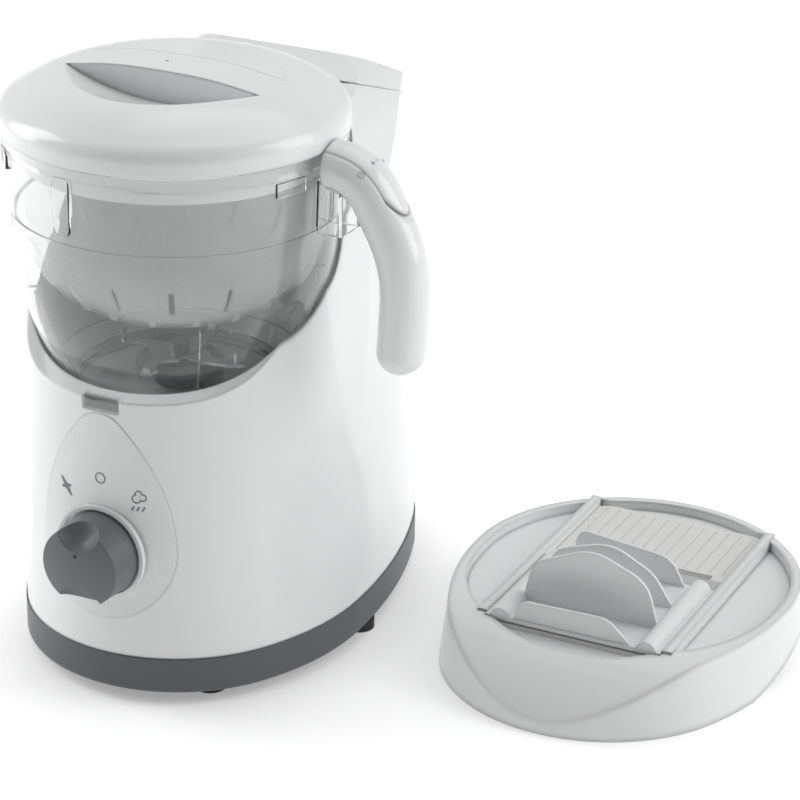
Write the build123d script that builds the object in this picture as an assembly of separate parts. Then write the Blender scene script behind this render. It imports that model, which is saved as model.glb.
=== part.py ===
"""Baby food maker: a countertop steamer and blender with a slicing lid beside it.

Millimetres, +Z up, table at Z = 0. The Z axis is the axis of the jug and of its blades.
-Y is the front with the knob, +X is the side of the jug handle, +Y is the boiler tower.
"""
from build123d import *
import math
import os

os.makedirs("parts", exist_ok=True)

# ---------------------------------------------------------------- driving sizes
housing_half_width = 87.5
housing_front = 106.0
housing_rear = 153.0
housing_widest_y = 24.5
side_draft_deg = 2.0
tower_top_z = 292.0
wall = 2.6

foot_height = 6.0
ring_height = 19.5
seat_z = 139.0
rim_height = 21.0

jug_radius = 82.5
jug_height = 138.0
jug_wall = 2.4
lid_height = 30.5
lid_wall = 2.4
ridge_half_width = 17.0
scoop_depth = 16.0
trough_radius = 130.0
basket_depth = 93.0
basket_wall = 1.6
blade_reach = 37.0

well_gap = 1.2
seat_gap = 0.15
running_gap = 0.05

knob_z = 80.0
knob_radius = 21.5
knob_length = 23.0
pin_radius = 3.0

motor_radius = 30.0
motor_length = 58.0
boiler_radius = 28.0
boiler_length = 105.0
boiler_y = 122.0

handle_half_width = 14.0
handle_half_depth = 12.0

slicer_x = 206.0
slicer_y = 106.0
slicer_half_width = 91.0
slicer_front = 123.0
slicer_rear = 92.5
slicer_height = 34.0
skirt_radius = 80.0
slide_half_width = 47.0

# ---------------------------------------------------------------- sizes that follow
ring_top_z = foot_height + ring_height
rim_z = seat_z + rim_height
jug_top_z = seat_z + jug_height
band_z = jug_top_z - 40.0
lid_radius = jug_radius + 3.3
clear_top_z = tower_top_z + 70.0


# ---------------------------------------------------------------- shape makers
def save(shape, name):
    """Write one node, with all of its solids, as parts/name.step."""
    solids = list(shape.solids())
    export_step(solids[0] if len(solids) == 1 else Compound(solids), f"parts/{name}.step")


def joined(shapes):
    """Several shapes as one."""
    total = shapes[0]
    for shape in shapes[1:]:
        total = total + shape
    return total


def rod(radius, start, end):
    """A round rod between two points."""
    start, end = Vector(*start), Vector(*end)
    plane = Plane(origin=start, z_dir=(end - start).normalized())
    return extrude(plane * Circle(radius), amount=(end - start).length)


def tube(outer, inner, start, end):
    """A round tube between two points."""
    return rod(outer, start, end) - rod(inner, start, end)


def block(x0, x1, y0, y1, z0, z1):
    """A box given by its two limits on each axis."""
    middle = ((x0 + x1) / 2, (y0 + y1) / 2, (z0 + z1) / 2)
    return Pos(*middle) * Box(x1 - x0, y1 - y0, z1 - z0)


def turned(points):
    """A solid of revolution about Z from straight-sided (radius, height) corners."""
    corners = [(r, 0, z) for r, z in points]
    return revolve(make_face(Polyline(*corners, close=True)), axis=Axis.Z)


def turned_edges(*edges):
    """A solid of revolution about Z from a closed run of edges in the XZ plane."""
    return revolve(make_face(Wire(list(edges))), axis=Axis.Z)


def rounded_profile(points, radii):
    """A closed face from an open polyline with rounded corners and a straight closing side."""
    path = FilletPolyline(*points, radius=radii, close=False)
    return make_face(path.edges() + [Line(points[-1], points[0])])


def spaced(shape, count, start_deg=0.0):
    """Copies of a shape spaced evenly about Z."""
    return [Rot(0, 0, start_deg + 360.0 * i / count) * shape for i in range(count)]


def egg(half_width, front, rear, widest_y, front_side, rear_side):
    """A plan outline of tangent arcs: a front nose, two long sides and a rear nose."""

    def nose_radius(side, reach):
        return (2 * side * half_width - half_width**2 - reach**2) / (2 * (side - reach))

    def point_on_side(side, reach, part):
        """A point on a side arc, from the widest line (0) to where the nose starts (1)."""
        sign = -1 if reach == front else 1
        nose_y = widest_y + sign * (reach - nose_radius(side, reach))
        turn = math.atan2(nose_y - widest_y, side - half_width) * part
        centre_x = half_width - side
        return centre_x + side * math.cos(turn), widest_y + side * math.sin(turn)

    f_mid, f_end = point_on_side(front_side, front, 0.5), point_on_side(front_side, front, 1)
    r_mid, r_end = point_on_side(rear_side, rear, 0.5), point_on_side(rear_side, rear, 1)
    widest = (half_width, widest_y)

    def mirrored(point):
        return -point[0], point[1]

    return make_face(
        Wire(
            [
                ThreePointArc(mirrored(f_end), (0, widest_y - front), f_end),
                ThreePointArc(f_end, f_mid, widest),
                ThreePointArc(widest, r_mid, r_end),
                ThreePointArc(r_end, (0, widest_y + rear), mirrored(r_end)),
                ThreePointArc(mirrored(r_end), mirrored(r_mid), mirrored(widest)),
                ThreePointArc(mirrored(widest), mirrored(f_mid), mirrored(f_end)),
            ]
        )
    )


def housing_plan(inset):
    """The housing's plan outline at its bottom edge, shrunk by inset."""
    return egg(
        housing_half_width - inset,
        housing_front - inset,
        housing_rear - inset,
        housing_widest_y,
        130.0 - inset,
        300.0 - inset,
    )


def housing_form(inset, bottom_z=ring_top_z):
    """The housing's outer form: a drafted egg under an arched top that falls to the back."""
    top = tower_top_z - inset
    body = extrude(Pos(0, 0, bottom_z) * housing_plan(inset), amount=top + 20 - bottom_z, taper=side_draft_deg)
    shoulder, crown = housing_half_width - 9.0 - inset, housing_half_width - 27.5 - inset
    foot_x = housing_half_width + 4.0
    arch = rounded_profile(
        [
            (-foot_x, -10),
            (-shoulder, top - 67),
            (-crown, top - 7),
            (0, top + 1),
            (crown, top - 7),
            (shoulder, top - 67),
            (foot_x, -10),
        ],
        [90, 36, 200, 36, 90],
    )
    back = housing_widest_y + housing_rear - inset
    hump = rounded_profile(
        [(-200, -10), (-200, top + 1), (back - 81, top + 1), (back - 36, top - 24), (back - 7, top - 104), (back + 9, -10)],
        [1, 60, 50, 120],
    )
    body = body & extrude(Plane.XZ * arch, amount=300, both=True)
    return body & extrude(Plane.YZ * hump, amount=200, both=True)


def jug_form(grown, bottom_z, rim_out=0.0, top_z=clear_top_z):
    """The jug's outer form as a solid, grown outwards, with its rim widened by rim_out."""
    foot = jug_radius - 28.0 + grown
    belly = (jug_radius - 11.0 + grown, 0, seat_z + 36.0)
    under_band = (jug_radius - 1.6 + grown, 0, band_z - 1.5 * rim_out)
    over_band = (jug_radius + grown + rim_out, 0, band_z + 0.5 + rim_out)
    rim = jug_radius + 1.1 + grown + rim_out
    return turned_edges(
        Line((0, 0, bottom_z), (foot, 0, bottom_z)),
        Line((foot, 0, bottom_z), (foot, 0, seat_z + 2.0)),
        ThreePointArc((foot, 0, seat_z + 2.0), belly, under_band),
        Line(under_band, over_band),
        Line(over_band, (rim, 0, jug_top_z - 8.0)),
        Line((rim, 0, jug_top_z - 8.0), (rim, 0, top_z)),
        Line((rim, 0, top_z), (0, 0, top_z)),
        Line((0, 0, top_z), (0, 0, bottom_z)),
    )


def sweep_cut(lift=0.0):
    """The sweeping front opening over the jug, moved up and back by lift."""
    tower_front = 42.0
    slope_start = tower_front - 92.0
    outline = rounded_profile(
        [
            (-170, clear_top_z),
            (-170, rim_z),
            (slope_start, rim_z),
            (tower_front, rim_z + 92.0),
            (tower_front, clear_top_z),
        ],
        [1, 70, 45],
    )
    return Pos(0, lift, -lift) * extrude(Plane.YZ * outline, amount=200, both=True)


# ---------------------------------------------------------------- housing, cradle and tank lid
well = jug_form(well_gap, seat_z - seat_gap, rim_out=3.2)
well_lining = jug_form(well_gap + wall, seat_z - seat_gap - wall, rim_out=3.2)
dish_radius, dish_y, dish_z = 80.0, 60.5, tower_top_z + 64.6
dish = rod(dish_radius, (-200, dish_y, dish_z), (200, dish_y, dish_z))
dish_lining = rod(dish_radius + wall, (-200, dish_y, dish_z), (200, dish_y, dish_z))

outer_form = housing_form(0.0)
hollow = housing_form(wall, ring_top_z - 1.0) - sweep_cut(wall) - well_lining - dish_lining
shell = outer_form - sweep_cut() - well - dish - hollow

seam_slope_deg = 20.0
seam_gap = 0.5
lid_zone = Pos(0, 100, tower_top_z - 17.0) * Rot(-seam_slope_deg, 0, 0) * Pos(0, 0, 60) * Box(300, 240, 120)
lid_zone = lid_zone - block(-200, 200, -200, 40, 0, 500)
rear_edge_y, rear_edge_z = housing_widest_y + housing_rear - 33.7, tower_top_z - 33.0
hinge_y, hinge_z = rear_edge_y - 3.8, rear_edge_z + 1.8
hinge_pin_radius = 1.2
knuckle_radius = 2.7
relief_radius = 5.0
ear_inner, ear_outer = 18.0, 22.0

tank_lid = (shell & lid_zone) - Pos(0, 0, seam_gap) * block(-200, 200, -200, 40, 0, 500)
knuckle = rod(knuckle_radius, (-ear_inner + 0.4, hinge_y, hinge_z), (ear_inner - 0.4, hinge_y, hinge_z))
knuckle = knuckle + block(-ear_inner + 0.4, ear_inner - 0.4, hinge_y - 2, hinge_y + 2, hinge_z, hinge_z + 20)
tank_lid = tank_lid + ((knuckle & lid_zone & outer_form) - dish)
tank_lid = tank_lid + (rod(knuckle_radius, (-ear_inner + 0.4, hinge_y, hinge_z), (ear_inner - 0.4, hinge_y, hinge_z)))
pin_bore = rod(hinge_pin_radius + running_gap, (-60, hinge_y, hinge_z), (60, hinge_y, hinge_z))
tank_lid = tank_lid - pin_bore
for side in (-1, 1):
    near, far = sorted((side * (ear_inner - 0.4), side * (ear_outer + 0.4)))
    tank_lid = tank_lid - block(near, far, hinge_y - 4.5, hinge_y + 40, hinge_z - 30, hinge_z + 3.9)

hinge_relief = rod(relief_radius, (-90, hinge_y, hinge_z), (90, hinge_y, hinge_z))
housing = (shell - Pos(0, 0, -seam_gap) * lid_zone) - hinge_relief
pan_joint_z = rim_z - 6.6
pan_zone = well_lining & block(-120, 120, -120, 120, 0, pan_joint_z)
housing = housing - pan_zone
for side in (-1, 1):
    near, far = sorted((side * ear_inner, side * ear_outer))
    ear = rod(knuckle_radius, (near, hinge_y, hinge_z), (far, hinge_y, hinge_z))
    ear = ear + block(near, far, hinge_y - 2.5, hinge_y + 2.5, hinge_z - 26, hinge_z)
    ear = ear + block(near, far, hinge_y - 2.5, hinge_y + 40, hinge_z - 26, hinge_z - relief_radius - 3)
    housing = housing + (ear & outer_form)
housing = housing - rod(hinge_pin_radius, (-ear_outer, hinge_y, hinge_z), (ear_outer, hinge_y, hinge_z))
hinge_pin = rod(hinge_pin_radius, (-ear_outer, hinge_y, hinge_z), (ear_outer, hinge_y, hinge_z))

# front panel let into the housing, round the knob and pointed at the top
panel_depth, panel_proud = 1.0, 0.5
panel_arc, panel_top = 37.0, rim_z - 7.5
panel_outline = make_face(
    Wire(
        [
            ThreePointArc((-panel_arc, knob_z + 2), (0, knob_z + 2 - panel_arc), (panel_arc, knob_z + 2)),
            ThreePointArc((panel_arc, knob_z + 2), (27.5, knob_z + 43), (9, panel_top - 3)),
            ThreePointArc((9, panel_top - 3), (0, panel_top), (-9, panel_top - 3)),
            ThreePointArc((-9, panel_top - 3), (-27.5, knob_z + 43), (-panel_arc, knob_z + 2)),
        ]
    )
)
panel_prism = Pos(0, -40, 0) * extrude(Plane.XZ * panel_outline, amount=100)
panel_floor = housing_form(panel_depth)
shaft_hole = rod(pin_radius + 1.0, (0, -150, knob_z), (0, -40, knob_z))
control_panel = (panel_prism & (housing_form(-panel_proud) - panel_floor)) - shaft_hole
housing = housing - (panel_prism - panel_floor) - shaft_hole
collar_y = housing_widest_y - housing_front + 1.9
collar = tube(knob_radius + 3.0, knob_radius + 1.0, (0, collar_y + 0.8, knob_z), (0, collar_y - 1.9, knob_z))
control_panel = control_panel + (collar - panel_floor)

# printed marks: a ring for off, crossed blades and a steam cloud
print_shell = housing_form(-panel_proud - 0.15) - housing_form(-panel_proud)


def mark(sketch):
    """A printed mark: a flat drawing seen from the front, laid on the panel."""
    return (Pos(0, -40, 0) * extrude(Plane.XZ * sketch, amount=100)) & print_shell


ring_mark = mark(Pos(0, knob_z + 39) * (Circle(2.9) - Circle(2.3)))
blades_drawn = Rot(0, 0, -52) * Ellipse(5.6, 1.0) + Rot(0, 0, 20) * Ellipse(3.4, 0.9) + Circle(1.6)
blade_mark = mark(Pos(-21, knob_z + 29.5) * blades_drawn)
cloud_drawn = Circle(2.4) + Pos(3.0, 0.8) * Circle(2.0) + Pos(1.0, 2.6) * Circle(1.9)
cloud_hollow = Circle(1.8) + Pos(3.0, 0.8) * Circle(1.4) + Pos(1.0, 2.6) * Circle(1.3)
cloud_mark = mark(Pos(19, knob_z + 31) * (cloud_drawn - cloud_hollow))
drops = [Pos(17.2 + 2.6 * i, knob_z + 25.8) * Rot(0, 0, 65) * Rectangle(2.6, 0.8) for i in range(3)]
drop_marks = [mark(drop) for drop in drops]
print_marks = Compound([s for m in [ring_mark, blade_mark, cloud_mark] + drop_marks for s in m.solids()])

# clear insert in the notch at the front of the cradle rim
notch = block(-10, 10, -120, -60, rim_z - 6.5, rim_z + 40)
rim_window = (outer_form & block(-9.8, 9.8, -120, -60, rim_z - 6.3, rim_z - 1.2)) - well - panel_prism
notch_floor = notch & block(-10, 10, -120, -60, rim_z - 6.5, rim_z)
housing = housing - notch_floor

# steam nozzle and cord gland pass through the housing
nozzle_z, nozzle_radius = band_z + 21.0, 6.0
nozzle_tip_y = jug_radius + well_gap + 3.6
housing = housing - rod(nozzle_radius, (0, 60, nozzle_z), (0, 104, nozzle_z))
gland_z, gland_radius = ring_top_z + 18.0, 7.0
gland_y = housing_widest_y + housing_rear
housing = housing - rod(gland_radius, (0, gland_y - 30, gland_z), (0, gland_y + 30, gland_z))
save(housing, "housing_shell")
save(tank_lid, "tank_lid")
save(hinge_pin, "lid_hinge_pin")
save(control_panel, "control_panel")
save(print_marks, "panel_marks")
save(rim_window, "rim_window")

jug_pan = pan_zone - well
motor_top_z = seat_z - 28.0
mount_circle = 42.0
for post in spaced(rod(5.0, (mount_circle, 0, motor_top_z + 3), (mount_circle, 0, seat_z - 1)), 3, 30):
    jug_pan = jug_pan + (post - well)
coupling_bore = 10.5
jug_pan = jug_pan - rod(coupling_bore, (0, 0, 0), (0, 0, seat_z + 5))
save(jug_pan, "jug_cradle")

# ---------------------------------------------------------------- base ring, plate and feet
ring_wall = 3.0
ring = extrude(Pos(0, 0, foot_height) * housing_plan(-0.6), amount=ring_height)
ring = fillet(ring.faces().sort_by(Axis.Z)[0].edges(), 3.0)
ring = ring - extrude(Pos(0, 0, 0) * housing_plan(ring_wall), amount=ring_top_z + 5)
save(ring, "base_ring")

plate_z = foot_height + 1.0
plate = extrude(Pos(0, 0, plate_z) * housing_plan(ring_wall + 0.1), amount=2.5)
foot_radius, stem_radius = 8.0, 3.0
foot_places = [(0, 0), (42, -48), (-42, -48), (79, 44), (-79, 44), (45, 146), (-45, 146)]
screw_places = [(62, -20), (-62, -20), (60, 100), (-60, 100)]
feet = []
screws = []
for x, y in foot_places:
    plate = plate - rod(stem_radius, (x, y, 0), (x, y, 20))
    foot = rod(foot_radius, (x, y, 0), (x, y, foot_height - 0.3))
    foot = foot + rod(stem_radius + 1.5, (x, y, foot_height - 0.3), (x, y, plate_z))
    feet.append(foot + rod(stem_radius, (x, y, plate_z), (x, y, plate_z + 2.5)))
for x, y in screw_places:
    plate = plate + tube(5.0, 1.6, (x, y, plate_z), (x, y, ring_top_z - 2))
    plate = plate - rod(1.6, (x, y, 0), (x, y, 40))
    screws.append(rod(3.2, (x, y, plate_z - 1.0), (x, y, plate_z)) + rod(1.6, (x, y, plate_z), (x, y, 21)))
vent_width, vent_pitch, vent_inner, vent_outer = 3.0, 7.0, 13.0, 36.0
for i in range(-3, 4):
    for side in (-1, 1):
        near, far = sorted((side * vent_inner, side * vent_outer))
        vent_y = i * vent_pitch
        plate = plate - block(near, far, vent_y - vent_width / 2, vent_y + vent_width / 2, 0, 20)
save(plate, "bottom_plate")
save(Compound(feet), "rubber_feet")
save(Compound(screws), "base_screws")

gland = tube(gland_radius, 4.0, (0, gland_y - 6, gland_z), (0, gland_y + 3, gland_z))
gland = gland + tube(gland_radius + 2.5, 4.0, (0, gland_y + 0.2, gland_z), (0, gland_y + 3, gland_z))
save(gland, "cord_gland")

# ---------------------------------------------------------------- motor and drive
motor_bottom_z = motor_top_z - motor_length
shaft_bottom_z = motor_bottom_z - 16.0
can = tube(motor_radius, motor_radius - 1.6, (0, 0, motor_bottom_z), (0, 0, motor_top_z))
can = can + tube(motor_radius, 7.0, (0, 0, motor_bottom_z), (0, 0, motor_bottom_z + 1.6))
save(can, "motor_can")

mount = tube(34.0, 7.0, (0, 0, motor_top_z), (0, 0, motor_top_z + 3))
motor_screws = []
for i in range(3):
    turn = Rot(0, 0, 30 + 120 * i)
    arm = block(20, mount_circle, -6, 6, motor_top_z, motor_top_z + 3) - rod(7.5, (0, 0, 0), (0, 0, 200))
    arm = arm + rod(6.0, (mount_circle, 0, motor_top_z), (mount_circle, 0, motor_top_z + 3))
    mount = mount + turn * arm
    mount = mount - turn * rod(1.6, (mount_circle, 0, 0), (mount_circle, 0, 200))
    screw = rod(3.4, (mount_circle, 0, motor_top_z - 2), (mount_circle, 0, motor_top_z))
    screw = screw + rod(1.6, (mount_circle, 0, motor_top_z), (mount_circle, 0, motor_top_z + 3))
    motor_screws.append(turn * screw)
save(mount, "motor_mount")
save(Compound([s for m in motor_screws for s in m.solids()]), "motor_screws")

bearings = [
    tube(7.0, pin_radius + running_gap, (0, 0, z), (0, 0, z + 5)) for z in (motor_bottom_z, motor_top_z - 2.0)
]
save(Compound([s for b in bearings for s in b.solids()]), "motor_bearings")

hex_top_z = seat_z + 5.2
save(rod(pin_radius, (0, 0, shaft_bottom_z), (0, 0, seat_z - 4)), "motor_shaft")
armature = tube(22.0, pin_radius, (0, 0, motor_bottom_z + 10), (0, 0, motor_top_z - 10))
save(armature, "armature")
fan = tube(7.0, pin_radius, (0, 0, shaft_bottom_z + 1), (0, 0, shaft_bottom_z + 9))
for vane in spaced(block(6, 25, -0.8, 0.8, shaft_bottom_z + 1, shaft_bottom_z + 9), 8):
    fan = fan + vane
save(fan, "cooling_fan")
driver = rod(8.8, (0, 0, seat_z - 12), (0, 0, seat_z + 0.6))
driver = driver + extrude(Pos(0, 0, seat_z + 0.6) * RegularPolygon(8.0, 6), amount=hex_top_z - seat_z - 0.6)
driver = driver - rod(pin_radius, (0, 0, 0), (0, 0, seat_z - 4))
save(driver, "drive_coupling")

# ---------------------------------------------------------------- knob and switch
knob_back_y = collar_y - 1.4
knob_front_y = knob_back_y - knob_length
front_plane = Plane(origin=(0, knob_back_y, knob_z), x_dir=(1, 0, 0), z_dir=(0, -1, 0))
knob = extrude(front_plane * Circle(knob_radius), amount=knob_length, taper=3.0)
knob = knob & (Pos(0, knob_front_y + 62, knob_z) * Sphere(62))
for side in (-1, 1):
    scoop_z = knob_z + side * (knob_radius + 1.5)
    knob = knob - Pos(0, knob_front_y - 1.0, scoop_z) * Sphere(13.5)
knob = knob - rod(pin_radius, (0, -40, knob_z), (0, knob_front_y + 8, knob_z))
knob = knob - rod(0.9, (0, knob_front_y - 2, knob_z + 7.5), (0, knob_front_y + 1.2, knob_z + 7.5))
save(knob, "knob")
switch_front_y, switch_back_y = collar_y + 7.0, collar_y + 22.0
knob_shaft = rod(pin_radius, (0, switch_back_y - 4, knob_z), (0, knob_front_y + 8, knob_z))
save(knob_shaft, "knob_shaft")
switch = block(-16, 16, switch_front_y, switch_back_y, knob_z - 16, knob_z + 16)
switch = switch + tube(7.0, 4.0, (0, switch_front_y, knob_z), (0, switch_front_y - 3.0, knob_z))
switch = switch - rod(pin_radius + running_gap, (0, -200, knob_z), (0, switch_back_y - 3.9, knob_z))
save(switch, "rotary_switch")

# ---------------------------------------------------------------- boiler in the tower
boiler_top_z = tower_top_z - 68.0
boiler_bottom_z = boiler_top_z - boiler_length
tank = tube(boiler_radius, boiler_radius - 1.5, (0, boiler_y, boiler_bottom_z), (0, boiler_y, boiler_top_z))
for z in (boiler_bottom_z, boiler_top_z - 1.5):
    tank = tank + rod(boiler_radius, (0, boiler_y, z), (0, boiler_y, z + 1.5))
neck_y, neck_radius = boiler_y - 6.0, 13.0
pipe_y, pipe_radius = boiler_y - 24.0, 4.0
tank = tank - rod(neck_radius - 2.0, (0, neck_y, boiler_top_z - 5), (0, neck_y, boiler_top_z + 5))
save(tank, "boiler_tank")
neck_top_z = boiler_top_z + 36.0
neck = tube(neck_radius, neck_radius - 2.0, (0, neck_y, boiler_top_z), (0, neck_y, neck_top_z))
save(neck, "filler_neck")
plug = rod(neck_radius + 1.5, (0, neck_y, neck_top_z + 0.2), (0, neck_y, neck_top_z + 5.0))
plug = plug + rod(neck_radius - 2.2, (0, neck_y, neck_top_z - 8), (0, neck_y, neck_top_z + 0.2))
plug = plug + block(-11, 11, neck_y - 1.6, neck_y + 1.6, neck_top_z + 5.0, neck_top_z + 9.0)
save(plug, "boiler_plug")
heater = tube(boiler_radius - 3, 8, (0, boiler_y, boiler_bottom_z - 7), (0, boiler_y, boiler_bottom_z))
heater = heater + block(-24, -18, boiler_y - 2, boiler_y + 2, boiler_bottom_z - 16, boiler_bottom_z - 7)
heater = heater + block(18, 24, boiler_y - 2, boiler_y + 2, boiler_bottom_z - 16, boiler_bottom_z - 7)
save(heater, "heating_element")
save(rod(7.5, (0, boiler_y, boiler_bottom_z - 6), (0, boiler_y, boiler_bottom_z)), "thermostat")
stand_top_z = boiler_bottom_z - 18.0
stand = tube(28.0, 25.5, (0, boiler_y, plate_z + 2.5), (0, boiler_y, boiler_bottom_z - 7))
stand = stand - block(-26, 26, boiler_y - 4, boiler_y + 4, stand_top_z, boiler_bottom_z)
save(stand, "boiler_stand")
pipe_path = FilletPolyline(
    (0, pipe_y, boiler_top_z), (0, pipe_y, nozzle_z), (0, pipe_y - 7.5, nozzle_z), radius=5.0
)
pipe = sweep(Plane(origin=(0, pipe_y, boiler_top_z), z_dir=(0, 0, 1)) * (Circle(pipe_radius) - Circle(2.2)), pipe_path)
save(pipe, "steam_pipe")
nozzle = tube(nozzle_radius, 3.0, (0, nozzle_tip_y, nozzle_z), (0, pipe_y - 7.5, nozzle_z))
nozzle = nozzle - neck
save(nozzle, "steam_nozzle")
interlock = block(-46, -34, -7, 7, seat_z - 22, seat_z - seat_gap - wall)
save(interlock, "interlock_switch")

# ---------------------------------------------------------------- jug
floor_z = seat_z + 7.0
floor_top_z = floor_z + 3.0
inside = jug_form(-jug_wall, floor_top_z)
jug = jug_form(0.0, seat_z, top_z=jug_top_z) - inside
jug = jug - rod(jug_radius - 28.0 - 3.0, (0, 0, 0), (0, 0, floor_z))
jug = jug + tube(11.0, 6.0, (0, 0, floor_z - 1.0), (0, 0, floor_top_z + 1.0))
jug = jug - rod(6.0, (0, 0, 0), (0, 0, floor_top_z + 5))
flange = turned(
    [
        (jug_radius, jug_top_z - 9.0),
        (jug_radius + 2.1, jug_top_z - 6.0),
        (jug_radius + 2.1, jug_top_z),
        (jug_radius - 1.0, jug_top_z),
        (jug_radius - 1.0, jug_top_z - 9.0),
    ]
)
jug = jug + flange
rib_ring = jug_form(-jug_wall + 0.2, floor_z, top_z=seat_z + 66) - jug_form(-jug_wall - 5.0, floor_top_z - 1)
rib_ring = rib_ring & block(-100, 100, -100, 100, floor_top_z - 1, seat_z + 58)
for strip in spaced(block(20, 90, -1.3, 1.3, 0, 300), 4, -51):
    jug = jug + (rib_ring & strip)
tongue = block(jug_radius - 2, jug_radius + 1.9, -5, 5, jug_top_z - 30, jug_top_z - 6)
tongue = tongue + rod(5.0, (jug_radius - 2, 0, jug_top_z - 30), (jug_radius + 1.9, 0, jug_top_z - 30))
jug = jug + (Rot(0, 0, -100) * tongue)
lug = block(jug_radius - 1, jug_radius + 1.9, -9, 9, jug_top_z - 15, jug_top_z - 8)
for piece in spaced(lug, 3, -140):
    jug = jug + piece

# the bracket under the handle root, two webs joined by a front plate
bracket_x = jug_radius + 13.5
bracket_top_z = jug_top_z - 13.0
bracket = block(bracket_x - 2.5, bracket_x, -10, 10, band_z, bracket_top_z)
for side in (-1, 1):
    near, far = sorted((side * 7.5, side * 10))
    bracket = bracket + block(jug_radius - 0.5, bracket_x, near, far, band_z, bracket_top_z)
jug = jug + bracket
jug = jug - rod(4.0, (0, 60, nozzle_z), (0, 100, nozzle_z))
save(jug, "jug")

# handle: a hook that leaves the rim, turns down and ends free
root_x = lid_radius + 0.5
grip_x = jug_radius + 42.0
handle_path = FilletPolyline(
    (root_x - 14, 0, jug_top_z - 6.0),
    (root_x + 17, 0, jug_top_z - 9.0),
    (grip_x + 1.5, 0, jug_top_z - 52.0),
    (grip_x - 1.0, 0, jug_top_z - 96.0),
    radius=[26.0, 70.0],
)
start = Plane(origin=handle_path @ 0, z_dir=handle_path % 0, x_dir=(0, 1, 0))
handle = sweep(start * Ellipse(handle_half_width, handle_half_depth), handle_path)
tip = handle_path @ 1
handle = handle + Pos(tip.X, 0, tip.Z) * scale(Sphere(1.0), by=(handle_half_depth, handle_half_width, handle_half_depth))
handle = handle - block(0, root_x, -60, 60, 0, 400) - bracket
lever_travel = 0.06
lever_path = [
    (root_x - 30, 0, jug_top_z + 60.0),
    (root_x - 30, 0, jug_top_z + 1.0),
    (root_x + 17, 0, jug_top_z - 2.0),
    (grip_x + 5.0, 0, jug_top_z - 32.0),
    (grip_x + 60.0, 0, jug_top_z - 20.0),
]


def lever_slab(shrink, travel=0.0):
    """The wedge of space over the handle's spine that the thumb lever fills."""
    pivot_x = root_x + 20.0
    flat = [(x, z + shrink + travel * max(0.0, x - pivot_x)) for x, _, z in lever_path]
    face = rounded_profile(flat, [1, 20, 8])
    return extrude(Plane.XZ * face, amount=9.5 - shrink, both=True)


thumb_lever = (handle & lever_slab(0.35, lever_travel)) - block(0, root_x + 0.3, -60, 60, 0, 400)
thumb_lever = thumb_lever & block(0, grip_x + 4.0, -60, 60, 0, 400)
lever_pocket = lever_slab(0.0) & block(0, grip_x + 9.0, -60, 60, 0, 400)
handle = handle - lever_pocket
lever_pin_x, lever_pin_z = root_x + 20.0, jug_top_z - 6.5
lever_pin = rod(1.2, (lever_pin_x, -11.5, lever_pin_z), (lever_pin_x, 11.5, lever_pin_z))
lever_lug = rod(3.0, (lever_pin_x, -3, lever_pin_z), (lever_pin_x, 3, lever_pin_z))
lever_lug = lever_lug + block(lever_pin_x - 3, lever_pin_x + 3, -3, 3, lever_pin_z, lever_pin_z + 4.5)
thumb_lever = thumb_lever + lever_lug
thumb_lever = thumb_lever - rod(1.2 + running_gap, (lever_pin_x, -20, lever_pin_z), (lever_pin_x, 20, lever_pin_z))
handle = handle - block(lever_pin_x - 5, lever_pin_x + 5, -3.5, 3.5, lever_pin_z - 4, lever_pin_z + 20)
handle = handle - rod(1.2, (lever_pin_x, -11.5, lever_pin_z), (lever_pin_x, 11.5, lever_pin_z))
save(handle, "jug_handle")
save(thumb_lever, "thumb_lever")
save(lever_pin, "lever_pin")

# ---------------------------------------------------------------- blades under the jug floor and above it
save(tube(6.0, pin_radius + running_gap, (0, 0, floor_z - 1.0), (0, 0, floor_top_z + 1.5)), "spindle_bush")
socket_bottom_z = seat_z + 1.2
socket = rod(13.0, (0, 0, socket_bottom_z), (0, 0, floor_z - 1.2))
socket = socket - extrude(Pos(0, 0, socket_bottom_z - 1) * RegularPolygon(8.4, 6), amount=hex_top_z + 1.4 - socket_bottom_z)
socket = socket - rod(pin_radius, (0, 0, 0), (0, 0, 300))
hub_z = floor_top_z + 1.7
spindle_bottom_z = hex_top_z + 0.4
spindle = rod(pin_radius, (0, 0, spindle_bottom_z), (0, 0, hub_z + 9))
save(spindle, "spindle")
save(socket, "jug_coupling")
hub = turned([(pin_radius, hub_z), (22, hub_z), (22, hub_z + 2.5), (9, hub_z + 5), (pin_radius, hub_z + 5)])
save(hub, "blade_hub")


def blade(z, tip_rise):
    """A two-armed blade with swept arms and tips bent by tip_rise."""
    flat = extrude(Pos(0, 0, z) * Ellipse(blade_reach, 7.5), amount=1.4)
    flat = flat - rod(pin_radius, (0, 0, 0), (0, 0, 300))
    for side in (-1, 1):
        cutter = Pos(side * 22, side * 9, z) * Cylinder(8.5, 10)
        flat = flat - cutter
        near, far = sorted((side * (blade_reach - 5), side * (blade_reach - 3.8)))
        tip_z0, tip_z1 = sorted((z + 0.2, z + tip_rise))
        flat = flat + block(near, far, -2.0, 2.0, tip_z0, tip_z1)
    return flat


save(blade(hub_z + 5.0, 7.0), "blade_lower")
save(Rot(0, 0, 90) * blade(hub_z + 6.4, 3.0), "blade_upper")
nut = tube(4.8, pin_radius, (0, 0, hub_z + 7.8), (0, 0, hub_z + 9.0)) + rod(4.8, (0, 0, hub_z + 9), (0, 0, hub_z + 12))
save(nut, "blade_nut")

# ---------------------------------------------------------------- steam basket
basket_top_z = jug_top_z + 1.3
basket_rim_z = jug_top_z + seat_gap
basket_radius = jug_radius - 3.2
basket_floor_z = basket_top_z - basket_depth


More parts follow.
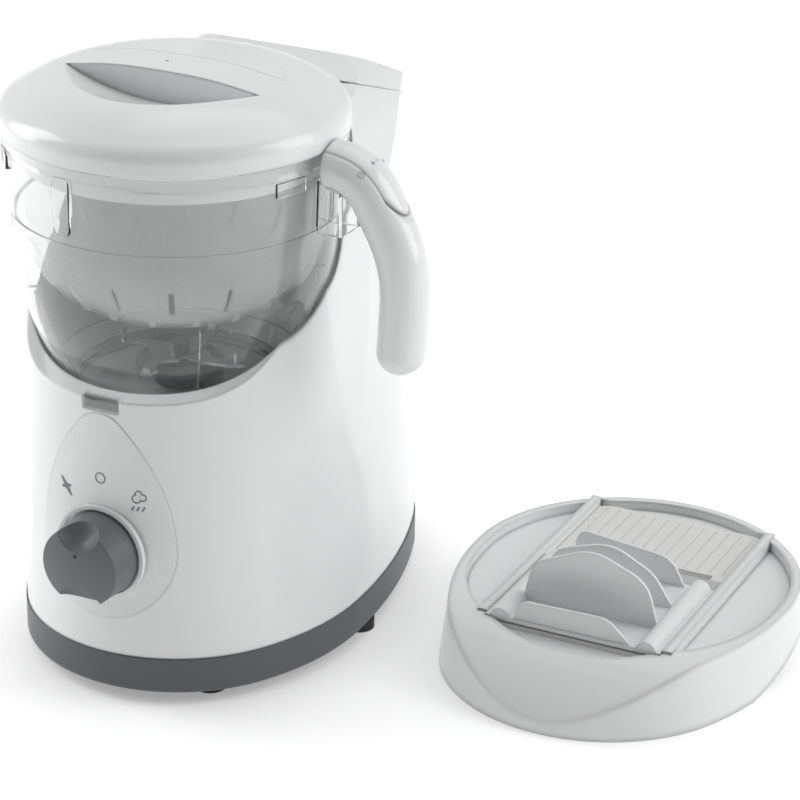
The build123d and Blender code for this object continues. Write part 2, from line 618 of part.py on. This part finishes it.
def basket_form(inset, top_z):
    """The basket's bowl as a solid, shrunk by inset."""
    side_foot = (basket_radius - 3.5 - inset, 0, basket_floor_z + 42.0)
    floor_edge = (38.0 - inset, 0, basket_floor_z + inset)
    bend = (basket_radius - 18.5 - inset, 0, basket_floor_z + 12.0 + inset)
    return turned_edges(
        Line((0, 0, top_z), (basket_radius - inset, 0, top_z)),
        Line((basket_radius - inset, 0, top_z), side_foot),
        ThreePointArc(side_foot, bend, floor_edge),
        Line(floor_edge, (0, 0, basket_floor_z + inset)),
        Line((0, 0, basket_floor_z + inset), (0, 0, top_z)),
    )


basket = basket_form(0.0, basket_top_z) - basket_form(basket_wall, basket_top_z + 1)
basket = basket + tube(basket_radius + 3.4, basket_radius - 1.0, (0, 0, basket_rim_z), (0, 0, basket_top_z))
slots = spaced(block(40, 90, -1.4, 1.4, basket_floor_z + 17, basket_floor_z + 31), 16, 5)
basket = basket - joined(slots)
low_holes = spaced(rod(1.6, (44, 0, basket_floor_z - 20), (60, 0, basket_floor_z + 30)), 16, 16.25)
basket = basket - joined(low_holes)
for ring_radius, count in ((12, 6), (24, 12), (34, 16)):
    hole = rod(1.5, (ring_radius, 0, basket_floor_z - 5), (ring_radius, 0, basket_floor_z + 6))
    basket = basket - joined(spaced(hole, count))
basket = basket - rod(4.0, (0, 60, nozzle_z), (0, 100, nozzle_z))
save(basket, "steam_basket")

# ---------------------------------------------------------------- lid
lid_bottom_z = jug_top_z + 0.6
lid_top_z = jug_top_z + lid_height


def dome(inset, bottom_z):
    """The lid's dome as a solid, shrunk by inset."""
    edge, crown = lid_radius - inset, lid_top_z - inset
    corners = [
        (edge, 0, bottom_z),
        (edge, 0, crown - 18.5),
        (0.77 * edge, 0, crown - 7.0),
        (0.35 * edge, 0, crown - 1.0),
        (0, 0, crown),
    ]
    outline = FilletPolyline(*corners, radius=[9, 60, 140])
    closing = [Line(corners[-1], (0, 0, bottom_z)), Line((0, 0, bottom_z), corners[0])]
    return revolve(make_face(outline.edges() + closing), axis=Axis.Z)


def finger_scoops(grown):
    """Two lens-shaped scoops that leave a grip ridge along X."""
    shapes = []
    for side in (-1, 1):
        trough = rod(trough_radius + grown, (0, -10, trough_radius), (0, 90, trough_radius))
        trough = Pos(0, ridge_half_width, lid_top_z - scoop_depth) * Rot(17.0, 0, 0) * trough
        half = Pos(0, ridge_half_width - 3.0 - grown, lid_top_z) * Rot(-12.0, 0, 0)
        half = half * Pos(0, 100, 0) * Box(300, 200, 300)
        scoop = trough & half
        shapes.append(scoop if side > 0 else Rot(0, 0, 180) * scoop)
    return shapes[0] + shapes[1]


scoops = finger_scoops(0.0)
cavity = dome(lid_wall, lid_bottom_z - 2) - finger_scoops(lid_wall)
lid_shell = dome(0.0, lid_bottom_z) - scoops - cavity
lid_shell = lid_shell - rod(0.8, (-4, 0, 200), (-4, 0, 400))
save(lid_shell, "lid_shell")
skirt_outer = basket_radius - basket_wall - 0.8
ceiling_z = basket_top_z + 3.4
lid_liner = turned(
    [
        (0, ceiling_z),
        (0, ceiling_z + 1.8),
        (lid_radius - lid_wall - 0.2, ceiling_z + 1.8),
        (lid_radius - lid_wall - 0.2, ceiling_z),
        (skirt_outer, ceiling_z),
        (skirt_outer - 0.8, jug_top_z - 15),
        (skirt_outer - 2.8, jug_top_z - 15),
        (skirt_outer - 2.0, ceiling_z),
    ]
)
lid_liner = lid_liner & dome(lid_wall, 0)
lid_liner = lid_liner - joined(spaced(rod(2.0, (30, 0, 200), (30, 0, 400)), 6))
save(lid_liner, "lid_liner")
gasket = tube(basket_radius + 2.8, skirt_outer + 0.5, (0, 0, basket_top_z + 0.15), (0, 0, ceiling_z - 0.05))
save(gasket, "lid_gasket")

# ---------------------------------------------------------------- slicing lid beside the machine
at_slicer = Pos(slicer_x, 0, 0)


def slicer_form(inset, bottom_z=0.0):
    """The slicing lid's outer form: a low oval dome with a steep front."""
    top = slicer_height - inset
    plan = egg(
        slicer_half_width - inset,
        slicer_front - inset,
        slicer_rear - inset,
        slicer_y,
        180.0 - inset,
        300.0 - inset,
    )
    body = extrude(Pos(0, 0, bottom_z) * plan, amount=top + 5 - bottom_z, taper=7.0)
    arc_y, arc_z, arc_radius = slicer_y - slicer_front + 62.7, slicer_height - 77.7, 80.0 - inset

    def on_arc(angle):
        turn = math.radians(angle)
        return arc_y + arc_radius * math.cos(turn), arc_z + arc_radius * math.sin(turn)

    low, middle, high = on_arc(142), on_arc(116), on_arc(90)
    profile = make_face(
        Wire(
            [
                ThreePointArc(low, middle, high),
                Line(high, (400, high[1])),
                Line((400, high[1]), (400, -5)),
                Line((400, -5), (low[0] - 3.0, -5)),
                Line((low[0] - 3.0, -5), low),
            ]
        )
    )
    flat_top = block(-300, 300, -200, 400, -10, slicer_height - inset)
    return body & extrude(Plane.YZ * profile, amount=200, both=True) & flat_top


deck_z = slicer_height - 5.0
rising_edge = make_face(Polyline((slicer_y - 49, -1), (slicer_y + 130, -1), (slicer_y + 130, 36), close=True))
under_edge = extrude(Plane.YZ * rising_edge, amount=200, both=True)
body = slicer_form(0.0) - (slicer_form(2.4, -1.0) & block(-200, 200, -200, 400, -5, deck_z - 2.4))
well_half_width = slicer_half_width - 9.5
well_plan = egg(well_half_width, slicer_front - 31.0, well_half_width + 2.0, slicer_y, 180.0, 300.0)
body = body - extrude(Pos(0, 0, deck_z) * well_plan, amount=40)
slide_x, slide_end_y = slide_half_width + 0.4, slicer_y + 72.0
rail_y0, rail_y1 = slicer_y - 77.0, slide_end_y
body = body - block(-slide_x, slide_x, rail_y0 - 3.0, rail_y1, deck_z, 60)
body = body - under_edge
skirt_y = slicer_y + 2.0
skirt = tube(skirt_radius, skirt_radius - 2.4, (0, skirt_y, 0), (0, skirt_y, deck_z - 1))
body = body + (skirt & slicer_form(1.0, -1.0))
for side in (-1, 1):
    near, far = sorted((side * slide_x, side * (slide_x + 5.0)))
    body = body + block(near, far, rail_y0, rail_y1, deck_z - 1, deck_z + 6.5)
plate_y0, plate_y1 = rail_y0 - 2.0, rail_y1
blade_y = slicer_y + 12.0
body = body - block(-38, 38, blade_y - 1, blade_y + 6, 0, 60)
save(at_slicer * body, "slicer_body")

plate_top_z = deck_z + 2.4
table = block(-slide_half_width, slide_half_width, plate_y0, plate_y1, deck_z, plate_top_z)
table = table - (table - extrude(Pos(0, 0, deck_z - 1) * well_plan, amount=40))
table = table - block(-38, 38, blade_y - 1, blade_y + 6, 0, 60)
groove_count, groove_pitch = 13, 7.0
for i in range(groove_count):
    x = (i - (groove_count - 1) / 2) * groove_pitch
    table = table - block(x - 0.35, x + 0.35, blade_y + 8, plate_y1 - 4, plate_top_z - 0.3, 60)
save(at_slicer * table, "slicer_table")
knife_thickness = 0.6
knife = block(-44, 44, blade_y - 11, blade_y, plate_top_z, plate_top_z + knife_thickness)
screw_x = 41.0
blade_screws = []
for side in (-1, 1):
    x = side * screw_x
    knife = knife - rod(1.2, (x, blade_y - 7, 0), (x, blade_y - 7, 90))
    table_screw = rod(1.2, (x, blade_y - 7, plate_top_z - 2), (x, blade_y - 7, plate_top_z + knife_thickness))
    blade_screws.append(table_screw)
    table = table - rod(1.2, (x, blade_y - 7, 0), (x, blade_y - 7, 90))
save(at_slicer * table, "slicer_table")
save(at_slicer * knife, "slicer_knife")
save(at_slicer * Compound(blade_screws), "knife_screws")

carriage_z = plate_top_z + knife_thickness + 0.4
carriage_y0, carriage_y1 = slicer_y - 79.0, slicer_y - 3.0
carriage = block(-slide_half_width, slide_half_width, carriage_y0, carriage_y1, carriage_z, carriage_z + 2.2)
for side in (-1, 1):
    bead = rod(5.5, (side * 39.5, carriage_y0, carriage_z + 1.0), (side * 39.5, carriage_y1, carriage_z + 1.0))
    carriage = carriage + (bead & block(-90, 90, -90, 400, carriage_z, 90))
fins = [
    (2.0, [(-33, -1), (-28, 10.5), (18, 11.5), (32, -1)], [6, 13]),
    (24.0, [(-37, -1), (-32, 22), (0, 36), (30, 24), (37, -1)], [14, 24, 18]),
    (48.0, [(-36, -1), (-31, 19), (0, 29), (24, 17), (36, -1)], [13, 24, 20]),
    (73.0, [(-32, -1), (-27, 20), (24, 15), (32, -1)], [5, 13]),
]
for offset, corners, radii in fins:
    fin_plane = Plane(origin=(0, carriage_y0 + offset, carriage_z + 2.0), x_dir=(1, 0, 0), z_dir=(0, -1, 0))
    fin = extrude(fin_plane * rounded_profile(corners, radii), amount=1.0, both=True)
    carriage = carriage + (fin & block(-90, 90, -90, 400, carriage_z + 1, 120))
save(at_slicer * carriage, "slicer_carriage")
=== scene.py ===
import math

import bpy
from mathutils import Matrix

# Baby food maker: a white steamer and blender on its dark ring, with a clear jug and basket,
# and a separate slicing lid that stands beside it. Metres, +Z up, knob towards -Y.
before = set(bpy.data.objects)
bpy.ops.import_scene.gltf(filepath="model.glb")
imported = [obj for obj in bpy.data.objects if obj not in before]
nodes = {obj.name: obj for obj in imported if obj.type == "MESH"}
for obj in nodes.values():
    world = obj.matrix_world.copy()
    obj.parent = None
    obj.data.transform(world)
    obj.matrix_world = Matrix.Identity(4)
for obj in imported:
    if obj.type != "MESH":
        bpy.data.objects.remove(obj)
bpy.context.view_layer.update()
bpy.ops.object.select_all(action="DESELECT")

# ---------------------------------------------------------------- base ring, plate, feet and screws
# The machine stands on seven soft feet pressed into a flat bottom plate. A dark grey satin ring
# of moulded ABS runs round the foot of the housing and hides the joint with the plate.


def shader_of(name, colour, roughness, **sockets):
    """A new material with its Principled shader set, and its node tree."""
    material = bpy.data.materials.new(name)
    material.use_nodes = True
    shader = material.node_tree.nodes["Principled BSDF"]
    shader.inputs["Base Color"].default_value = (*colour, 1.0)
    shader.inputs["Roughness"].default_value = roughness
    for socket, value in sockets.items():
        shader.inputs[socket.replace("_", " ")].default_value = value
    return material, material.node_tree, shader


def moulded(name, colour, roughness, grain, depth, edge, **sockets):
    """Moulded plastic: softened edges, a fine grain and a slightly uneven gloss."""
    gloss_spread = 0.12
    material, tree, shader = shader_of(name, colour, roughness, **sockets)
    place = tree.nodes.new("ShaderNodeTexCoord")
    fine = tree.nodes.new("ShaderNodeTexNoise")
    fine.inputs["Scale"].default_value = grain
    fine.inputs["Detail"].default_value = 4.0
    broad = tree.nodes.new("ShaderNodeTexNoise")
    broad.inputs["Scale"].default_value = 14.0
    broad.inputs["Detail"].default_value = 3.0
    gloss = tree.nodes.new("ShaderNodeMapRange")
    gloss.inputs["From Min"].default_value = 0.3
    gloss.inputs["From Max"].default_value = 0.7
    gloss.inputs["To Min"].default_value = roughness * (1.0 - gloss_spread)
    gloss.inputs["To Max"].default_value = roughness * (1.0 + gloss_spread)
    corner = tree.nodes.new("ShaderNodeBevel")
    corner.samples = 6
    corner.inputs["Radius"].default_value = edge
    bump = tree.nodes.new("ShaderNodeBump")
    bump.inputs["Strength"].default_value = 0.25
    bump.inputs["Distance"].default_value = depth
    link = tree.links.new
    link(place.outputs["Object"], fine.inputs["Vector"])
    link(place.outputs["Object"], broad.inputs["Vector"])
    link(broad.outputs["Fac"], gloss.inputs["Value"])
    link(gloss.outputs["Result"], shader.inputs["Roughness"])
    link(fine.outputs["Fac"], bump.inputs["Height"])
    link(corner.outputs["Normal"], bump.inputs["Normal"])
    link(bump.outputs["Normal"], shader.inputs["Normal"])
    return material


def paint(material, *names):
    """Give CAD nodes a material in every slot."""
    for name in names:
        slots = nodes[name].data.materials
        slots.clear()
        slots.append(material)


ring_grey = moulded("ring grey plastic", (0.095, 0.098, 0.105), 0.42, 1800.0, 0.00004, 0.0008)
paint(ring_grey, "base_ring")
plate_black = moulded("black plate plastic", (0.03, 0.03, 0.032), 0.55, 1500.0, 0.00005, 0.0005)
paint(plate_black, "bottom_plate", "interlock_switch", "rotary_switch", "cooling_fan")
foot_rubber = moulded("black foot rubber", (0.035, 0.035, 0.036), 0.75, 2500.0, 0.00006, 0.0006)
paint(foot_rubber, "rubber_feet", "cord_gland")


def metal(name, colour, roughness, stretch):
    """Bare metal with fine drawn or turned lines."""
    material, tree, shader = shader_of(name, colour, roughness, Metallic=1.0)
    place = tree.nodes.new("ShaderNodeTexCoord")
    mapping = tree.nodes.new("ShaderNodeMapping")
    mapping.inputs["Scale"].default_value = stretch
    lines = tree.nodes.new("ShaderNodeTexNoise")
    lines.inputs["Scale"].default_value = 900.0
    lines.inputs["Detail"].default_value = 3.0
    bump = tree.nodes.new("ShaderNodeBump")
    bump.inputs["Strength"].default_value = 0.3
    bump.inputs["Distance"].default_value = 0.00003
    corner = tree.nodes.new("ShaderNodeBevel")
    corner.samples = 4
    corner.inputs["Radius"].default_value = 0.0003
    link = tree.links.new
    link(place.outputs["Object"], mapping.inputs["Vector"])
    link(mapping.outputs["Vector"], lines.inputs["Vector"])
    link(lines.outputs["Fac"], bump.inputs["Height"])
    link(corner.outputs["Normal"], bump.inputs["Normal"])
    link(bump.outputs["Normal"], shader.inputs["Normal"])
    return material


screw_steel = metal("zinc plated steel", (0.48, 0.48, 0.5), 0.35, (1.0, 1.0, 1.0))
paint(screw_steel, "base_screws", "motor_screws", "knife_screws", "lever_pin", "lid_hinge_pin")

# ---------------------------------------------------------------- motor, boiler and steam parts
# Hidden inside the housing: a canned motor hangs under the cradle and turns the drive coupling.
# A cast boiler stands in the tower and sends steam through a silicone pipe to the nozzle.
paint(screw_steel, "motor_can", "motor_mount", "motor_shaft", "thermostat")
boiler_alloy = metal("cast boiler alloy", (0.55, 0.55, 0.54), 0.5, (1.0, 1.0, 0.4))
paint(boiler_alloy, "boiler_tank", "heating_element")
winding_copper = metal("wound copper", (0.62, 0.3, 0.16), 0.4, (0.2, 0.2, 6.0))
paint(winding_copper, "armature")
bush_bronze = metal("sintered bronze", (0.55, 0.4, 0.2), 0.5, (1.0, 1.0, 1.0))
paint(bush_bronze, "motor_bearings", "spindle_bush")
inner_white = moulded("white inner plastic", (0.72, 0.72, 0.71), 0.5, 900.0, 0.00005, 0.0005)
paint(inner_white, "boiler_stand", "filler_neck", "boiler_plug", "steam_nozzle", "knob_shaft")
silicone_white = moulded("milky silicone", (0.68, 0.68, 0.67), 0.55, 700.0, 0.00004, 0.0005)
paint(silicone_white, "steam_pipe", "lid_gasket")
coupling_black = moulded("black coupling nylon", (0.02, 0.02, 0.021), 0.45, 1200.0, 0.00004, 0.0004)
paint(coupling_black, "drive_coupling", "jug_coupling")

# ---------------------------------------------------------------- housing, cradle and tank lid
# The body is one glossy white moulding with a soft rounded rim that sweeps up round the jug.
# The cradle under the jug is its own pan, and the tower's top lifts to fill the boiler.
shell_colour = (0.8, 0.805, 0.81)
gloss_coat = {"Coat_Weight": 0.35, "Coat_Roughness": 0.08}
shell_white = moulded("glossy white plastic", shell_colour, 0.2, 260.0, 0.00003, 0.0022, **gloss_coat)
paint(shell_white, "housing_shell", "jug_cradle", "tank_lid")

# ---------------------------------------------------------------- control panel, marks and knob
# A shield-shaped panel stands half a millimetre proud of the front, printed with the three
# positions. The knob is dark grey, domed, with a finger scoop at its top and bottom.
panel_colour = (0.78, 0.785, 0.79)
panel_white = moulded("panel white plastic", panel_colour, 0.26, 300.0, 0.00002, 0.0006, Coat_Weight=0.2)
paint(panel_white, "control_panel")
print_grey = moulded("grey printing", (0.2, 0.2, 0.21), 0.5, 900.0, 0.00001, 0.0001)
paint(print_grey, "panel_marks")
knob_grey = moulded("knob grey plastic", (0.135, 0.138, 0.145), 0.4, 1800.0, 0.00004, 0.0012)
paint(knob_grey, "knob", "blade_hub", "blade_nut")

# ---------------------------------------------------------------- jug, handle and thumb lever
# The jug is clear copolyester with a heavier band at its top. The white handle is a separate
# hook, screwed to the jug's bracket, with a glossy lever let into its back.


def clear(name, colour, roughness, haze):
    """Clear plastic that shows what is behind it, with a faint haze."""
    material, tree, shader = shader_of(name, colour, roughness, IOR=1.5)
    shader.inputs["Transmission Weight"].default_value = 1.0
    place = tree.nodes.new("ShaderNodeTexCoord")
    flow = tree.nodes.new("ShaderNodeTexNoise")
    flow.inputs["Scale"].default_value = 22.0
    bump = tree.nodes.new("ShaderNodeBump")
    bump.inputs["Strength"].default_value = 0.1
    bump.inputs["Distance"].default_value = haze
    tree.links.new(place.outputs["Object"], flow.inputs["Vector"])
    tree.links.new(flow.outputs["Fac"], bump.inputs["Height"])
    tree.links.new(bump.outputs["Normal"], shader.inputs["Normal"])
    rays = tree.nodes.new("ShaderNodeLightPath")
    through = tree.nodes.new("ShaderNodeBsdfTransparent")
    through.inputs["Color"].default_value = (*colour, 1.0)
    lamps = tree.nodes.new("ShaderNodeMath")
    lamps.operation = "MAXIMUM"
    mix = tree.nodes.new("ShaderNodeMixShader")
    tree.links.new(rays.outputs["Is Shadow Ray"], lamps.inputs[0])
    tree.links.new(rays.outputs["Is Diffuse Ray"], lamps.inputs[1])
    tree.links.new(lamps.outputs["Value"], mix.inputs["Fac"])
    tree.links.new(shader.outputs["BSDF"], mix.inputs[1])
    tree.links.new(through.outputs["BSDF"], mix.inputs[2])
    tree.links.new(mix.outputs["Shader"], tree.nodes["Material Output"].inputs["Surface"])
    return material


jug_clear = clear("clear jug plastic", (0.992, 0.996, 0.996), 0.02, 0.0004)
paint(jug_clear, "jug")
paint(shell_white, "jug_handle", "thumb_lever")

# ---------------------------------------------------------------- blades
# Two pressed steel blades sit crosswise on a grey hub over the jug's floor. A small nut
# holds them, and the spindle runs down through the bush to the coupling.
blade_steel = metal("ground stainless steel", (0.66, 0.66, 0.67), 0.25, (1.0, 12.0, 1.0))
paint(blade_steel, "spindle", "blade_lower", "blade_upper")

# ---------------------------------------------------------------- steam basket
# A clear basket hangs in the jug by its rim, slotted round its side and drilled below,
# so that steam reaches the food and the juice runs into the jug.


def milky(name, colour, roughness, share):
    """Translucent plastic: partly see-through, with a milky lit body."""
    share_spread = 0.15
    material, tree, shader = shader_of(
        name, colour, roughness, Coat_Weight=0.5, Coat_Roughness=0.05
    )
    place = tree.nodes.new("ShaderNodeTexCoord")
    cloud = tree.nodes.new("ShaderNodeTexNoise")
    cloud.inputs["Scale"].default_value = 35.0
    cloud.inputs["Detail"].default_value = 5.0
    depth = tree.nodes.new("ShaderNodeMapRange")
    depth.inputs["To Min"].default_value = share * (1.0 - share_spread)
    depth.inputs["To Max"].default_value = share * (1.0 + share_spread)
    through = tree.nodes.new("ShaderNodeBsdfTransparent")
    mix = tree.nodes.new("ShaderNodeMixShader")
    tree.links.new(place.outputs["Object"], cloud.inputs["Vector"])
    tree.links.new(cloud.outputs["Fac"], depth.inputs["Value"])
    tree.links.new(depth.outputs["Result"], mix.inputs["Fac"])
    tree.links.new(through.outputs["BSDF"], mix.inputs[1])
    tree.links.new(shader.outputs["BSDF"], mix.inputs[2])
    tree.links.new(mix.outputs["Shader"], tree.nodes["Material Output"].inputs["Surface"])
    return material


basket_milky = milky("milky clear basket plastic", (0.95, 0.955, 0.96), 0.16, 0.2)
paint(basket_milky, "steam_basket")
tab_milky = milky("milky clear rim insert", (0.9, 0.905, 0.91), 0.15, 0.3)
paint(tab_milky, "rim_window")

# ---------------------------------------------------------------- lid
# The lid is a glossy white dome with a straight grip ridge between two finger scoops.
# A satin white liner with a skirt snaps in below it and holds the gasket.
lid_white = moulded("lid white plastic", shell_colour, 0.22, 260.0, 0.00003, 0.0028, **gloss_coat)
paint(lid_white, "lid_shell")
paint(inner_white, "lid_liner")

# ---------------------------------------------------------------- slicing lid beside the machine
# A low white dome with a sunk deck. A steel knife is screwed across the grooved table, and
# a finned carriage slides over it between two rails.
slicer_coat = {"Coat_Weight": 0.3, "Coat_Roughness": 0.1}
slicer_white = moulded(
    "slicing lid white plastic", shell_colour, 0.24, 260.0, 0.00003, 0.006, **slicer_coat
)
paint(slicer_white, "slicer_body")
paint(inner_white, "slicer_table")
carriage_white = moulded(
    "carriage white plastic", panel_colour, 0.28, 300.0, 0.00002, 0.001, Coat_Weight=0.25
)
paint(carriage_white, "slicer_carriage")
paint(blade_steel, "slicer_knife")

# ---------------------------------------------------------------- floor, light and camera
# A pale seamless floor, two tall soft boxes left and right, one above, and a darker front.
floor_size = 60.0
floor_drop = 0.0002
bpy.ops.mesh.primitive_plane_add(size=floor_size, location=(0.0, 0.0, -floor_drop))
floor = bpy.context.object
floor.name = "floor"
full_white = (1.0, 1.0, 1.0, 1.0)
floor_paint, _, floor_shader = shader_of("pale floor", (0.9, 0.9, 0.9), 0.6, Emission_Strength=0.3)
floor_shader.inputs["Emission Color"].default_value = full_white
floor.data.materials.append(floor_paint)

# The room is bright behind the object and dim in front of it.
room_bright, room_dim = 0.62, 0.06
dim_direction = (0.3, -0.8, 0.0)
world = bpy.data.worlds.new("studio")
bpy.context.scene.world = world
world.use_nodes = True
sky = world.node_tree
direction = sky.nodes.new("ShaderNodeTexCoord")
facing = sky.nodes.new("ShaderNodeVectorMath")
facing.operation = "DOT_PRODUCT"
facing.inputs[1].default_value = dim_direction
shade = sky.nodes.new("ShaderNodeMapRange")
shade.interpolation_type = "SMOOTHSTEP"
shade.inputs["From Min"].default_value = 0.2
shade.inputs["From Max"].default_value = 0.8
shade.inputs["To Min"].default_value = room_bright
shade.inputs["To Max"].default_value = room_dim
sky.links.new(direction.outputs["Generated"], facing.inputs[0])
sky.links.new(facing.outputs["Value"], shade.inputs["Value"])
sky.links.new(shade.outputs["Result"], sky.nodes["Background"].inputs["Strength"])
sky.nodes["Background"].inputs["Color"].default_value = full_white


def soft_box(name, place, aim, width, height, power):
    """A rectangular soft light aimed at a point."""
    lamp = bpy.data.lights.new(name, "AREA")
    lamp.shape = "RECTANGLE"
    lamp.size, lamp.size_y = width, height
    lamp.energy = power
    holder = bpy.data.objects.new(name, lamp)
    bpy.context.scene.collection.objects.link(holder)
    holder.location = place
    gap = [a - p for a, p in zip(aim, place)]
    flat = math.hypot(gap[0], gap[1])
    tilt = math.pi / 2 + math.atan2(gap[2], flat)
    holder.rotation_euler = (tilt, 0.0, math.atan2(-gap[0], gap[1]))


machine_middle = (0.0, 0.0, 0.15)
soft_box("left soft box", (-1.6, -0.2, 0.9), machine_middle, 0.9, 1.6, 17.0)
soft_box("right soft box", (1.5, 0.6, 0.9), machine_middle, 0.9, 1.5, 11.0)
soft_box("top soft box", (0.1, 0.7, 1.8), (0.1, 0.0, 0.0), 1.6, 1.2, 5.0)

camera_place = (0.7186, -1.2216, 0.7497)
camera_turn_deg = (66.354, -0.596, 26.261)
camera_data = bpy.data.cameras.new("camera")
camera_data.lens = 137.64
camera_data.sensor_width = 36.0
camera_data.clip_start = 0.05
camera_data.clip_end = 100.0
camera = bpy.data.objects.new("camera", camera_data)
bpy.context.scene.collection.objects.link(camera)
camera.location = camera_place
camera.rotation_euler = [math.radians(angle) for angle in camera_turn_deg]
bpy.context.scene.camera = camera
bpy.context.scene.view_settings.view_transform = "Standard"
